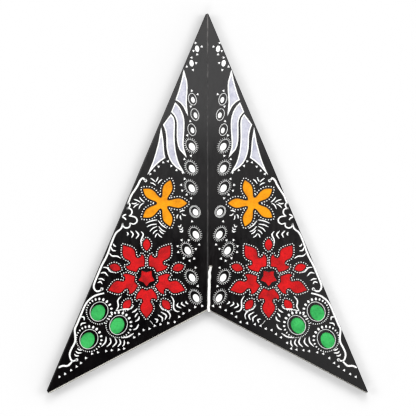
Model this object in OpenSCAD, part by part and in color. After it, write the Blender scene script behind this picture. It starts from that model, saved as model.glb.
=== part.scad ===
// Folding paper star lantern with five points, stored flat.
// Each arm is two arrowhead layers of card, and each layer has a front panel (left, X below 0)
// and a back panel (right, X above 0) that meet on the side crease along Y.
// Panels share one outline, drawn in (u, v): u is the distance from the crease,
// v the height above the notch corner, both in millimetres.

/* [Star] */
// Length of the side crease, from the point of the star to the notch
crease_len = 238; // [230:1:246]
// Length of the valley edge, from the notch to a wing tip
valley_len = 144; // [140:1:150]
// Angle of a panel at the notch, in degrees
notch_angle = 117.7; // [116.5:0.1:119]

/* [Card and tissue] */
// Thickness of the card
card_t = 0.4; // [0.3:0.05:0.45]
// Thickness of the tissue behind the windows
tissue_t = 0.12; // [0.08:0.01:0.15]
// Height of one folded arm, outer face to outer face
arm_height = 1.4; // [1.35:0.05:1.8]
// Gap between the outer faces of two folded arms
arm_gap = 0.2; // [0.15:0.05:0.3]
// Half the gap between two panels at their side crease
crease_gap = 0.06; // [0.05:0.01:0.1]
// How far a panel stops short of its ridge and valley lines
edge_gap = 0.15; // [0.1:0.05:0.3]
// How much is cut off the sharp point of the star
point_trim = 1.2; // [1:0.1:3]
// How much is cut off a wing tip
wing_trim = 1.6; // [1.6:0.1:4]
// Angle that a lower back panel stops short of its ridge, in degrees
ridge_relief = 0.85; // [0.8:0.05:1.2]

/* [Glue tabs] */
// Width of the tab along a back ridge
ridge_tab_w = 4.5; // [3:0.1:4.6]
// Width of the tab along a valley
valley_tab_w = 10; // [6:0.5:11]
// Thickness of a tab
tab_t = 0.25; // [0.15:0.05:0.25]

/* [Tie] */
// Width of the cotton tie
tie_w = 2.2; // [1.6:0.1:2.4]
// Height of the tie above the top card
tie_h = 1.1; // [0.8:0.1:1.2]
// Radius of the punched hole that the tie goes through
tie_hole_r = 1.4; // [1.3:0.1:1.5]
// Height of the hole above the notch
tie_hole_v = 33.5; // [28:0.5:38]

/* [Hidden] */
ARMS = 5;
LEVELS = ["low", "up"];
SIDES = ["front", "back"];
CARDS = [for (a = [1:ARMS], l = LEVELS, s = SIDES) str("arm_", a, "_", l, "_", s)];

// Angles and lengths of one panel, a triangle point-notch-wing tip
ridge_len = sqrt(pow(crease_len, 2) + pow(valley_len, 2)
    - 2 * crease_len * valley_len * cos(notch_angle));
point_angle = asin(valley_len * sin(notch_angle) / ridge_len);
wing_angle = 180 - notch_angle - point_angle;
wing_tip = valley_len * [sin(notch_angle), cos(notch_angle)];
ridge_dir = [sin(point_angle), -cos(point_angle)];
valley_dir = [sin(notch_angle), cos(notch_angle)];

// The frame's origin is the middle of the folded star's footprint
star_top = crease_len - point_trim;
star_bottom = min([for (p = panel(0, 0)) p[1]]);
y_shift = -(star_top + star_bottom) / 2;

// A mitre a little steeper than half of the crease's fold lets the panels close on their outer faces
mitre_angle = 43;
CURVE_STEPS = 6;
OVAL_STEPS = 28;

// ---- outlines -------------------------------------------------------------------------------

// Points of a cubic curve, without its last one
function curve(p, q, r, s, n = CURVE_STEPS) = [for (i = [0:n - 1]) let (t = i / n, w = 1 - t)
    w * w * w * p + 3 * w * w * t * q + 3 * w * t * t * r + t * t * t * s];
// A chain of curves: each row is start, control, control, and it ends at the next row's start
function chain(rows) = [for (i = [0:len(rows) - 1])
    each curve(rows[i][0], rows[i][1], rows[i][2], rows[(i + 1) % len(rows)][0])];
function turn(p, a) = [p[0] * cos(a) - p[1] * sin(a), p[0] * sin(a) + p[1] * cos(a)];
function place(points, at, a) = [for (p = points) at + turn(p, a)];
// An outline from its upper half, which starts and ends on the x axis
function both_halves(half) = concat(half, [for (i = [len(half) - 2:-1:1]) [half[i][0], -half[i][1]]]);
function oval(a, b) = [for (i = [0:OVAL_STEPS - 1]) let (t = 360 * i / OVAL_STEPS)
    [a * cos(t), b * sin(t)]];

// Four long feathers that fan down from the ridge
FEATHERS = [
    chain([
        [[18.9, 186.8], [15.0, 179.0], [18.6, 170.0]],
        [[17.5, 160.5], [18.6, 162.8], [21.2, 166.2]],
        [[24.5, 167.7], [22.3, 173.4], [20.6, 180.2]]
    ]),
    chain([
        [[25.6, 163.6], [22.2, 160.5], [19.4, 154.5]],
        [[19.5, 148.0], [19.2, 141.0], [21.4, 132.0]],
        [[19.2, 125.4], [24.6, 128.5], [23.6, 140.0]],
        [[23.5, 147.0], [23.4, 152.0], [25.4, 155.6]],
        [[28.0, 157.8], [27.2, 159.7], [26.4, 161.7]]
    ]),
    chain([
        [[29.3, 154.3], [26.2, 151.5], [27.4, 146.0]],
        [[27.4, 138.0], [27.4, 128.0], [25.6, 118.5]],
        [[21.8, 112.2], [28.5, 115.5], [32.0, 122.5]],
        [[31.9, 134.0], [31.8, 139.0], [32.6, 143.5]],
        [[34.5, 147.2], [32.8, 149.6], [31.0, 151.9]]
    ]),
    chain([
        [[37.1, 138.5], [35.6, 133.0], [36.3, 126.0]],
        [[34.8, 121.2], [38.3, 118.9], [41.6, 116.2]],
        [[44.6, 112.6], [41.8, 119.0], [39.0, 129.0]]
    ])
];

// The orange flower: five pointed petals that run together in the middle
FLOWER_AT = [35.7, 84.5];
PETAL_HALF = concat(
    curve([3.6, 2.6], [5.4, 1.2], [8.6, 3.7], [12.4, 3.7]),
    curve([12.4, 3.7], [14.9, 3.7], [17.2, 2], [19.4, 0])
);
PETAL = concat(
    [for (i = [0:len(PETAL_HALF) - 2]) [PETAL_HALF[i][0], -PETAL_HALF[i][1]]],
    [[19.4, 0]],
    [for (i = [len(PETAL_HALF) - 1:-1:1]) PETAL_HALF[i]]
);
FLOWER = [for (k = [0:4]) each place(PETAL, FLOWER_AT, 180 + 72 * k)];

// The red star burst: a small star, five lobed leaves and five small leaves between them
BURST_AT = [48.5, 25];
STAR_R = 6.8;
STAR_WAIST = 4.4;
STAR = [for (k = [0:9]) let (t = 36 * k - 90)
    BURST_AT + (k % 2 == 0 ? STAR_R : STAR_WAIST) * [cos(t), sin(t)]];
LEAF_HALF = concat(
    [[10.4, 0]],
    curve([8.6, 3.9], [11.2, 5.4], [13.5, 9.2], [17.3, 7.9], 5),
    curve([17.3, 7.9], [15.4, 6.2], [15.6, 3.2], [18.2, 2.7], 4),
    curve([18.2, 2.7], [20.0, 2.4], [21.0, 4.9], [23.8, 4.9], 4),
    curve([23.8, 4.9], [26.8, 4.9], [29.6, 1.6], [32, 0], 5),
    [[32, 0]]
);
LEAF = both_halves(LEAF_HALF);
SMALL_LEAF = both_halves(concat(
    curve([21.7, 0], [24.4, 3.9], [28.4, 3.9], [31.1, 0], 8),
    [[31.1, 0]]
));

// Three green ovals near the wing tip
GREEN_OVALS_AT = [[87.1, -2.9], [71.8, -13.2], [95.3, -24.9]];
GREEN_OVAL = [6.7, 5.3];
GREEN_TILT = 120;

module windows() {
    for (f = FEATHERS) polygon(f);
    polygon(FLOWER);
    polygon(STAR);
    for (k = [0:4]) polygon(place(LEAF, BURST_AT, 72 * k - 90));
    for (k = [0:4]) polygon(place(SMALL_LEAF, BURST_AT, 72 * k - 54));
    for (c = GREEN_OVALS_AT) polygon(place(oval(GREEN_OVAL[0], GREEN_OVAL[1]), c, GREEN_TILT));
}

// A line beside the ridge, turned about the point by a relief angle, and a line beside the valley
function on_ridge(dist, inset, relief = 0) = [0, crease_len]
    + dist * turn(ridge_dir, -relief) - inset * turn([cos(point_angle), sin(point_angle)], -relief);
function on_valley(dist, inset) = dist * valley_dir + inset * [-cos(notch_angle), sin(notch_angle)];
// Where two lines meet, each given by two points
function meet(a, b, c, d) = let (
    r = b - a, s = d - c, k = r[0] * s[1] - r[1] * s[0],
    t = ((c[0] - a[0]) * s[1] - (c[1] - a[1]) * s[0]) / k) a + t * r;

// One panel's outline: the point and the wing tip are blunt, and the notch corner can be cut away
function panel(relief, corner) = let (
    r0 = on_ridge(0, edge_gap, relief), r1 = on_ridge(1, edge_gap, relief),
    v0 = on_valley(0, edge_gap), v1 = on_valley(1, edge_gap),
    top = crease_len - point_trim,
    trim = wing_trim + ridge_len * sin(relief) / sin(wing_angle),
    tip_a = on_ridge(ridge_len - trim, 0), tip_b = on_valley(valley_len - trim, 0)) [
    corner > 0 ? [0, corner] : meet([0, 0], [0, 1], v0, v1),
    [0, top],
    meet(r0, r1, [0, top], [1, top]),
    meet(r0, r1, tip_a, tip_b),
    meet(v0, v1, tip_a, tip_b),
    if (corner > 0) meet(v0, v1, [0, corner], [corner, -0.2 * corner])
];

// ---- placing --------------------------------------------------------------------------------

// Base height of an arm in the stack
function arm_z(a) = (a - 1) * (arm_height + arm_gap);
// Draws children, made in (u, v) on the right, on the front or the back side of the fold
module on_side(s) {
    translate([0, y_shift, 0])
        mirror([s == "front" ? 1 : 0, 0, 0]) children();
}

// Distance of the tie and its hole from the crease
TIE_U = 2.3;
// Length of the corner cut off the lowest panels at the notch, where the tie passes
TIE_CORNER = 4;

// Only the top and the bottom back panels carry the tie hole
function has_hole(a, l, s) = s == "back" && ((a == ARMS && l == "up") || (a == 1 && l == "low"));

module card(a, l, s) {
    relief = l == "low" && s == "back" ? ridge_relief : 0;
    corner = a == 1 && l == "low" ? TIE_CORNER : 0;
    z = l == "low" ? arm_z(a) : arm_z(a) + arm_height - card_t;
    inner_z = l == "low" ? card_t : 0;
    on_side(s) translate([0, 0, z]) color("#161314") difference() {
        linear_extrude(card_t) difference() {
            polygon(panel(relief, corner));
            windows();
        }
        crease_mitre(inner_z);
        if (has_hole(a, l, s)) {
            translate([TIE_U, tie_hole_v, -1]) cylinder(r = tie_hole_r, h = card_t + 2, $fn = 48);
        }
    }
}

// Bevels the crease edge so that two panels close on each other inside the fold
module crease_mitre(inner_z) {
    away = inner_z > 0 ? 1 : -1;
    outer_z = card_t - inner_z;
    reach = card_t + 0.2;
    translate([0, crease_len + 1, 0]) rotate([90, 0, 0]) linear_extrude(crease_len + 8) polygon([
        [-1, outer_z - 0.1 * away],
        [crease_gap, outer_z - 0.1 * away],
        [crease_gap, outer_z],
        [crease_gap + reach * tan(mitre_angle), outer_z + reach * away],
        [-1, outer_z + reach * away]
    ]);
}

// ---- tissue ---------------------------------------------------------------------------------

WHITE_PATCH = [[12.5, 190], [18.4, 191], [50.5, 111], [46, 108.5], [16, 108.5]];
ORANGE_PATCH = [[13, 107.5], [48, 107.5], [53.8, 96], [55.5, 63], [13, 63]];
RED_PATCH_R = 35.5;
GREEN_PATCH_R = 9;
// Width kept free of tissue along the ridge, for the tab
GLUE_MARGIN = 5.2;

module tissue(a, l, s) {
    z = l == "low" ? arm_z(a) + card_t : arm_z(a) + arm_height - card_t - tissue_t;
    on_side(s) translate([0, 0, z]) {
        color("#DEDEEA") linear_extrude(tissue_t) polygon(WHITE_PATCH);
        color("#F9A010") linear_extrude(tissue_t) polygon(ORANGE_PATCH);
        color("#E0181C") linear_extrude(tissue_t) intersection() {
            glue_free();
            translate(BURST_AT) rotate(18) circle(r = RED_PATCH_R, $fn = 10);
        }
        color("#3BB85A") for (c = GREEN_OVALS_AT) linear_extrude(tissue_t) intersection() {
            glue_free();
            translate(c) circle(r = GREEN_PATCH_R, $fn = 10);
        }
    }
}

module glue_free() {
    polygon([
        [0, crease_len],
        on_ridge(0, GLUE_MARGIN),
        on_ridge(ridge_len, GLUE_MARGIN),
        [0, wing_tip[1]]
    ]);
}

// ---- glue tabs ------------------------------------------------------------------------------

// Length of a tab's slanting end, and the glue gap between a tab and its card
TAB_TAPER = 6;
TAB_LIFT = 0.02;

// A strip with tapered ends, under the upper back panel along its ridge
module ridge_tab(a) {
    start = 146;
    stop = ridge_len - 18;
    on_side("back") translate([0, 0, arm_z(a) + arm_height - card_t - tab_t - TAB_LIFT]) color("#1A1718")
        linear_extrude(tab_t) polygon([
            on_ridge(start, edge_gap),
            on_ridge(start + TAB_TAPER, ridge_tab_w),
            on_ridge(stop - TAB_TAPER, ridge_tab_w),
            on_ridge(stop, edge_gap)
        ]);
}

// A strip with tapered ends, on the inside of a lower panel along its valley
module valley_tab(a, s) {
    start = 8;
    stop = valley_len - 24;
    on_side(s) translate([0, 0, arm_z(a) + card_t + TAB_LIFT]) color("#1A1718")
        linear_extrude(tab_t) polygon([
            on_valley(start, edge_gap),
            on_valley(start + 2 * TAB_TAPER, valley_tab_w),
            on_valley(stop - 2 * TAB_TAPER, valley_tab_w),
            on_valley(stop, edge_gap)
        ]);
}

// ---- tie ------------------------------------------------------------------------------------

// Heights of the tie's middle: over the top card, and under it inside the arm
stack_h = arm_z(ARMS) + arm_height;
tie_over = stack_h + 0.06 + tie_h / 2;
tie_under = stack_h - card_t - 0.06 - 0.15;
tie_mid = (tie_over + tie_under) / 2;
tie_bend = (tie_over - tie_under) / 2;
// Where the loop turns, at the hole and below the notch
hole_turn = tie_hole_v - 0.75;
notch_turn = -1.6;
TIE_RING = 12;

// Route of the loop: each row is v, z, half the width, half the height of the cotton, and u.
// It starts under the card, comes up through the hole, leans over to the crease on its way down,
// and wraps the notch edge.
TIE_ROUTE = concat(
    [
        [14, tie_under, 1.1, 0.15, TIE_U - 0.3],
        [24, tie_under, 1.1, 0.15, TIE_U - 0.1],
        [hole_turn - 1, tie_under, 0.9, 0.15, TIE_U]
    ],
    [for (a = [-90:30:90]) [hole_turn + 0.62 * cos(a), tie_mid + tie_bend * sin(a),
        0.75, 0.28 + 0.1 * sin(a), TIE_U]],
    [[hole_turn - 1.6, tie_over, tie_w / 2 - 0.1, tie_h / 2 - 0.05, TIE_U - 0.35]],
    [for (i = [0:8]) let (v = 30 - 3.5 * i, lean = 0.75 + 0.75 * i / 8 + 0.1 * sin(200 * i))
        [v, tie_over, tie_w / 2, tie_h / 2 * (1 - 0.06 * (i % 2)), TIE_U - lean]],
    [[notch_turn + 1, tie_over - 0.05, 1.05, 0.42, TIE_U - 1.45]],
    [for (a = [90:-30:-90]) let (up = (1 + sin(a)) / 2)
        [notch_turn + 0.3 - 0.7 * cos(a), tie_mid + (tie_bend - 0.06 * up) * sin(a),
            1, 0.2 + 0.1 * up, TIE_U - 0.7 - 0.7 * up]],
    [
        [notch_turn + 2, tie_under, 1.1, 0.15, TIE_U - 0.6],
        [13.7, tie_under, 1.1, 0.15, TIE_U - 0.3]
    ]
);

// Rings across the route, each turned to the route's direction
function route_dir(i) = let (
    a = TIE_ROUTE[max(i - 1, 0)], b = TIE_ROUTE[min(i + 1, len(TIE_ROUTE) - 1)],
    d = [b[0] - a[0], b[1] - a[1]]) d / norm(d);
function ring(i) = let (p = TIE_ROUTE[i], d = route_dir(i)) [for (k = [0:TIE_RING - 1])
    let (w = p[2] * cos(360 * k / TIE_RING), h = p[3] * sin(360 * k / TIE_RING))
    [p[4] + w, p[0] - h * d[1], p[1] + h * d[0]]];

module notch_tie() {
    n = len(TIE_ROUTE);
    points = [for (i = [0:n - 1]) each ring(i)];
    sides = [for (i = [0:n - 2], k = [0:TIE_RING - 1]) let (q = (k + 1) % TIE_RING)
        [i * TIE_RING + k, i * TIE_RING + q, (i + 1) * TIE_RING + q, (i + 1) * TIE_RING + k]];
    first = [for (k = [TIE_RING - 1:-1:0]) k];
    last = [for (k = [0:TIE_RING - 1]) (n - 1) * TIE_RING + k];
    on_side("back") color("#F7F6F2") polyhedron(points, concat([first], sides, [last]));
}

// ---- the whole star -------------------------------------------------------------------------

for (a = [1:ARMS], l = LEVELS, s = SIDES) {
    card(a, l, s);
    tissue(a, l, s);
}
for (a = [1:ARMS]) {
    ridge_tab(a);
}
for (a = [2:ARMS], s = SIDES) {
    valley_tab(a, s);
}
notch_tie();
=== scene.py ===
# %% [markdown]
# # A folding paper star lantern, stored flat
# The real object is a five-pointed star of printed card that folds up like a fan. Each arm is two
# arrowhead layers, each layer has a front and a back panel, and thin coloured tissue is glued
# behind the windows that are cut in every panel. The card, the tabs and the joints come from a
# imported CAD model, which is loaded first and never moved. Everything made here is laid on it.

# %% Load the model that everything is fitted to
import math

import bmesh
import bpy
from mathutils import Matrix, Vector, noise


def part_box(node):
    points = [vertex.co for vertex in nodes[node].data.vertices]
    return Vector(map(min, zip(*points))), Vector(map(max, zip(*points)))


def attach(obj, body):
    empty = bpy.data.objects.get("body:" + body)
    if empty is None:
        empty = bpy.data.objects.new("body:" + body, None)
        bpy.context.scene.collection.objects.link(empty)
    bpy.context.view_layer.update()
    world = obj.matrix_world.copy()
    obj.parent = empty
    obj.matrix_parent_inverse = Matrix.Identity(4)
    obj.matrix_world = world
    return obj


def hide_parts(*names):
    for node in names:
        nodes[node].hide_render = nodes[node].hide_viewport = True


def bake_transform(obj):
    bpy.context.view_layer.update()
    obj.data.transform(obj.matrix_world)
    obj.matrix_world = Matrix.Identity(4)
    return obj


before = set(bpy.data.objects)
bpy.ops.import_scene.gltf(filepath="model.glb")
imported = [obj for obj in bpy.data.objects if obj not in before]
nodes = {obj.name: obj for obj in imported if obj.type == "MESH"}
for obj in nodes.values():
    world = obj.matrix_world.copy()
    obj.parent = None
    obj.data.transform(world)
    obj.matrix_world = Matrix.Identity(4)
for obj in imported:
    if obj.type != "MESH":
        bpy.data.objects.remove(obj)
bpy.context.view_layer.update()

# %% [markdown]
# ## Where things are on a panel
# All twenty panels share one design, so it is drawn once on a flat sheet in millimetres: u is the
# distance from the side crease and v the height above the notch. Two signs then carry it to any
# panel: one mirrors it to the left (front) half, the other turns it face down for a lower layer.

# %% Sizes that come from the model
MM = 0.001
CARD = 0.4
SHEET_TOP = 236.8
ARMS = range(1, 6)
LEVELS = ("low", "up")
SIDES = ("front", "back")

pattern_low, pattern_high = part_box("arm_2_up_back_card")
NOTCH_Y = pattern_high.y - SHEET_TOP * MM


def face_height(arm, level):
    """Height of a layer's printed face, in metres."""
    low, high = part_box(f"arm_{arm}_{level}_back_card")
    return high.z if level == "up" else low.z


def hand(level, side):
    """Sign across the crease, and sign of the printed face's normal."""
    return (-1 if side == "front" else 1), (1 if level == "up" else -1)


ARM_STEP = face_height(2, "up") - face_height(1, "up")
print(f"notch at y {NOTCH_Y * 1000:.2f} mm, arms {ARM_STEP * 1000:.2f} mm apart")

# %% [markdown]
# ## Reading the cut windows from the card
# The borders and dots follow the windows, so the outlines are read from the card itself instead of
# being typed again. A window's rim is the chain of edges that only one face of the printed side
# uses. Chaining those edges gives one loop for the panel and one for every window.


# %% Find the loops round a panel's printed face
def face_loops(name, level, side):
    """Loops of (u, v) points in millimetres, round one panel's printed face."""
    across, up = hand(level, side)
    mesh = nodes[name].data
    place = [(round(v.co.x * across * 1e6), round(v.co.y * 1e6)) for v in mesh.vertices]
    edges = set()
    for face in mesh.polygons:
        if face.normal.z * up > 0.99:
            corners = [place[i] for i in face.vertices]
            edges.update(zip(corners, corners[1:] + corners[:1]))
    follow = {a: b for a, b in edges if (b, a) not in edges}
    loops = []
    while follow:
        start, point = follow.popitem()
        loop = [start]
        while point != start:
            loop.append(point)
            point = follow.pop(point)
        loops.append([(x / 1000, y / 1000 - NOTCH_Y * 1000) for x, y in loop])
    return loops


def signed_area(loop):
    return sum(a[0] * b[1] - b[0] * a[1] for a, b in zip(loop, loop[1:] + loop[:1])) / 2


def counter_clockwise(loop):
    return loop if signed_area(loop) > 0 else loop[::-1]


def middle(loop):
    return Vector((sum(p[0] for p in loop) / len(loop), sum(p[1] for p in loop) / len(loop)))


loops = [counter_clockwise(loop) for loop in face_loops("arm_2_up_back_card", "up", "back")]
loops.sort(key=lambda loop: -abs(signed_area(loop)))
OUTLINE, windows = loops[0], loops[1:]
print(len(windows), "windows in a panel of", len(OUTLINE), "corners")

# %% Sort the windows by what they show
FLOWER_AT = Vector((35.7, 84.5))
BURST_AT = Vector((48.5, 25.0))
feathers = [w for w in windows if middle(w).y > 110]
ovals = [w for w in windows if middle(w).y < 0 and middle(w).x > 65]
flower = min(windows, key=lambda w: (middle(w) - FLOWER_AT).length)
star = min(windows, key=lambda w: (middle(w) - BURST_AT).length)
taken = [id(w) for w in feathers + ovals + [flower, star]]
leaves = [w for w in windows if id(w) not in taken]
print(len(feathers), "feathers,", len(leaves), "red leaves,", len(ovals), "green ovals")

# %% [markdown]
# ## A drawing kit for screen-printed ink
# White ink on card is a film of a few hundredths of a millimetre, with a crisp edge. Every mark is
# made as a thin closed slab, so that it catches light at its edge and is there in the mesh too.
# One helper cuts a slab from an outline, and another sweeps a band between two lines, which gives
# strokes, rings and borders.


# %% The ink sheet and its two tools
class InkSheet:
    """Marks of one design. A corner is (u, v, 0 on the card or 1 on the ink's surface)."""

    def __init__(self):
        self.corners, self.faces = [], []

    def slab(self, outline):
        outline = counter_clockwise(outline)
        first, count = len(self.corners), len(outline)
        self.corners += [(p[0], p[1], lift) for lift in (0, 1) for p in outline]
        self.faces.append([first + count + i for i in range(count)])
        self.faces.append([first + count - 1 - i for i in range(count)])
        for i in range(count):
            j = (i + 1) % count
            self.faces.append([first + i, first + j, first + count + j, first + count + i])

    def band(self, left, right, closed=False):
        first, count = len(self.corners), len(left)
        for p, q in zip(left, right):
            self.corners += [(p[0], p[1], 0), (q[0], q[1], 0), (p[0], p[1], 1), (q[0], q[1], 1)]
        for i in range(count if closed else count - 1):
            a, b = first + 4 * i, first + 4 * ((i + 1) % count)
            self.faces += [[a + 2, a + 3, b + 3, b + 2], [a + 1, a, b, b + 1]]
            self.faces += [[a, a + 2, b + 2, b], [a + 3, a + 1, b + 1, b + 3]]
        if not closed:
            b = first + 4 * (count - 1)
            self.faces += [[first, first + 1, first + 3, first + 2], [b + 2, b + 3, b + 1, b]]


ink = InkSheet()


# %% Round shapes, and lines drawn with a brush
def oval(centre, across, along, tilt=0.0, count=16):
    """An oval outline. Its long side, 2 * along, leans by tilt degrees from the u axis."""
    c, s = math.cos(math.radians(tilt)), math.sin(math.radians(tilt))
    turns = [2 * math.pi * i / count for i in range(count)]
    return [
        (
            centre[0] + along * math.cos(t) * c - across * math.sin(t) * s,
            centre[1] + along * math.cos(t) * s + across * math.sin(t) * c,
        )
        for t in turns
    ]


def smooth(points, steps=6):
    """A soft curve through the points."""
    points = [Vector(p) for p in points]
    if len(points) == 2:
        return points
    ends = [2 * points[0] - points[1]] + points + [2 * points[-1] - points[-2]]
    curve = []
    for a, b, c, d in zip(ends, ends[1:], ends[2:], ends[3:]):
        for i in range(steps):
            t = i / steps
            curve.append(
                0.5 * (2 * b + (c - a) * t + (2 * a - 5 * b + 4 * c - d) * t * t
                       + (3 * b - a - 3 * c + d) * t * t * t)
            )
    return curve + [points[-1]]


def stroke(points, width, tip=0.3):
    """A brush stroke: full width in the middle and tip * width at its ends."""
    line = smooth(points)
    left, right = [], []
    for i, p in enumerate(line):
        along = (line[min(i + 1, len(line) - 1)] - line[max(i - 1, 0)]).normalized()
        share = math.sin(math.pi * i / (len(line) - 1)) ** 0.7
        half = width / 2 * (tip + (1 - tip) * share)
        aside = Vector((-along.y, along.x)) * half
        left.append(p + aside)
        right.append(p - aside)
    ink.band(left, right)


def ring(centre, across, along, width, tilt=0.0, count=28):
    inner = oval(centre, across - width / 2, along - width / 2, tilt, count)
    outer = oval(centre, across + width / 2, along + width / 2, tilt, count)
    ink.band(inner, outer, closed=True)


def triangle(centre, size, turn):
    corners = [math.radians(turn + 120 * k) for k in range(3)]
    ink.slab([(centre[0] + size * math.cos(t), centre[1] + size * math.sin(t)) for t in corners])


# %% Lines that follow a window
def edge_normals(loop):
    """The outward normal of each edge of a counter-clockwise loop."""
    ahead = [(Vector(b) - Vector(a)).normalized() for a, b in zip(loop, loop[1:] + loop[:1])]
    return [Vector((d.y, -d.x)) for d in ahead]


def mitred(loop, gap, limit=7.0):
    """The loop moved outwards, with its sharp corners kept sharp."""
    normals = edge_normals(loop)
    moved = []
    for i, p in enumerate(loop):
        before, after = normals[i - 1], normals[i]
        reach = (before + after) / max(1 + before.dot(after), 0.02)
        if reach.length > 2.5:
            reach *= 1.5
        if reach.length > limit:
            reach = reach.normalized() * limit
        moved.append(Vector(p) + reach * gap)
    return moved


def distance_to(loop, p):
    best = 1e9
    for a, b in zip(loop, loop[1:] + loop[:1]):
        a, side = Vector(a), Vector(b) - Vector(a)
        t = max(0.0, min(1.0, (p - a).dot(side) / side.length_squared))
        best = min(best, (a + side * t - p).length)
    return best


def dots_round(loop, gap, spacing, radius):
    """Evenly spaced dots on a line that keeps its distance from a window."""
    normals = edge_normals(loop)
    track = []
    for i, p in enumerate(loop):
        before, after, p = normals[i - 1], normals[i], Vector(p)
        swing = before.angle_signed(after, 0)
        if swing < 0:
            turns = max(2, int(abs(swing) * gap / 0.2))
            track += [p + before.slerp(after, k / turns, after) * gap for k in range(turns)]
        side = Vector(loop[(i + 1) % len(loop)]) - p
        steps = max(1, int(side.length / 0.2))
        track += [p + side * (k / steps) + after * gap for k in range(steps)]
    track = [p for p in track if distance_to(loop, p) > 0.97 * gap]
    count, travelled = 0, spacing
    for a, b in zip(track[-1:] + track, track):
        travelled += (b - a).length
        if travelled >= spacing:
            ink.slab(oval(b, radius, radius, count=7))
            travelled, count = 0.0, count + 1
    return count


# %% [markdown]
# ## The printed design
# The ornament is folk linework: ringed ovals beside the crease, small triangles between them,
# dotted outlines round the red and orange windows, beads round the green ones, brush strokes in
# the spaces, and a scroll along the outer edge. The lists hold places in millimetres, and loops
# turn them into marks.

# %% Borders and dotted outlines of the windows
BORDER_FROM, BORDER_TO = 0.05, 0.95
FLOWER_DOTS = {"gap": 1.7, "spacing": 2.05, "radius": 0.44}
LEAF_DOTS = {"gap": 1.25, "spacing": 1.85, "radius": 0.42}
for window in feathers:
    ink.band(mitred(window, BORDER_FROM), mitred(window, BORDER_TO), closed=True)
dots = dots_round(flower, **FLOWER_DOTS)
for window in leaves:
    dots += dots_round(window, **LEAF_DOTS)
print(dots, "dots in the outlines")

# %% Ringed ovals along the crease
EYE_TILT = 60
SMALL_EYE_TILT = 75
RAY_SHIFT = Vector((0.75, 0.95))
RING_SHIFT = RAY_SHIFT * 0.6
PLAIN_EYES = [(8.4, 208.5), (12.8, 196.8)]
RING_EYES = [(11.7, 167.3), (9.7, 154.9), (12.1, 142.8)]
WIDE_EYE = (9.6, 77.2)
WIDE_RINGS = [(3.3, 4.2), (4.1, 4.9)]
RAY_EYES = [
    (12.4, 129.6), (12.4, 112.0), (12.6, 96.3), (9.3, 59.2), (15.8, 46.5), (12.3, 24.9), (9.1, 8.8),
]
RAYS = 22
RAY_WIDTH = 0.22
for eye in PLAIN_EYES:
    ink.slab(oval(eye, 1.6, 2.6, 80))
for eye in RING_EYES:
    ink.slab(oval(eye, 1.4, 2.3, SMALL_EYE_TILT))
    ring(Vector(eye) + RING_SHIFT, 3.1, 4.8, 0.3, SMALL_EYE_TILT)
ink.slab(oval(WIDE_EYE, 2.1, 2.7, EYE_TILT))
for across, along in WIDE_RINGS:
    ring(Vector(WIDE_EYE) + RING_SHIFT, across, along, 0.24, EYE_TILT)
for eye in RAY_EYES:
    ink.slab(oval(eye, 2.25, 3.3, EYE_TILT, 20))
    centre = Vector(eye) + RAY_SHIFT
    ring(centre, 3.85, 5.3, 0.2, EYE_TILT)
    inner = oval(centre, 4.1, 5.55, EYE_TILT, RAYS)
    outer = oval(centre, 5.3, 6.8, EYE_TILT, RAYS)
    for a, b in zip(inner, outer):
        stroke([a, b], RAY_WIDTH, 1.0)

# %% Small triangles
VALLEY_TURN = 62.3
LOOSE_TRIANGLES = [
    (18.5, 119.7), (13.3, 122.4), (18.3, 103.9), (21.1, 99.1), (20.2, 94.5), (16.7, 91.3),
    (13.1, 88.4),
    (45.7, 107.8), (42.3, 110.5), (39.1, 113.7), (35.4, 117.1), (31.6, 118.0), (29.0, 114.3),
    (24.8, 110.9), (19.8, 108.8), (12.4, 69.9), (20.6, 55.0), (15.1, 54.8), (6.7, 51.4), (9.4, 47.9),
    (10.7, 40.2), (14.3, 38.5), (19.0, 40.6), (23.4, 45.4), (23.8, 50.1), (9.6, 33.0), (7.8, 18.3),
    (9.2, 197.0), (16.7, 194.1), (11.7, 191.4), (12.7, 174.6), (8.0, 171.8), (13.5, 162.0),
    (13.9, 150.2), (16.2, 138.8), (9.7, 213.2), (4.7, 210.2), (11.3, 206.8), (8.4, 203.9),
    (12.8, 201.4),
]
EDGE_TRIANGLES = [
    (4.4, 2.6), (10.0, 1.7), (14.4, -0.9), (19.2, -3.4), (22.7, -6.1), (26.1, -10.2), (31.4, -11.1),
    (37.5, -12.1), (42.1, -13.2), (46.2, -15.5), (50.8, -16.6), (54.3, -19.8), (58.3, -22.4),
    (63.1, -26.8), (66.3, -31.3), (70.5, -32.1), (76.1, -32.6), (80.5, -33.3), (87.0, -34.3),
    (91.7, -35.4), (96.5, -38.8), (100.4, -42.7), (103.8, -45.5), (108.2, -48.5), (113.0, -51.4),
    (117.4, -53.7),
]
for number, place in enumerate(LOOSE_TRIANGLES):
    triangle(place, 1.12, 90 + 47 * number)
for place in EDGE_TRIANGLES:
    triangle(place, 1.2, VALLEY_TURN)

# %% Rings and beads of the green ovals
OVAL_RINGS = [((86.2, -1.9), 6.9, 7.9), ((70.7, -12.6), 6.8, 7.9), ((94.2, -23.8), 7.0, 7.9)]
BEAD_RADIUS = 10.0
BIG_BEAD_TURN = 128
for centre, across, along in OVAL_RINGS:
    ring(centre, across, along, 0.32, 120, 36)
    turn = 0.0
    while turn < 352:
        nearness = 0.5 + 0.5 * math.cos(math.radians(turn))
        size = 0.38 + 0.66 * nearness ** 1.5
        out = math.radians(BIG_BEAD_TURN + turn)
        at = (centre[0] + BEAD_RADIUS * math.cos(out), centre[1] + BEAD_RADIUS * math.sin(out))
        ink.slab(oval(at, size * 0.8, size * 1.15, math.degrees(out), 10))
        turn += 8.5 + 11 * nearness

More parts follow.
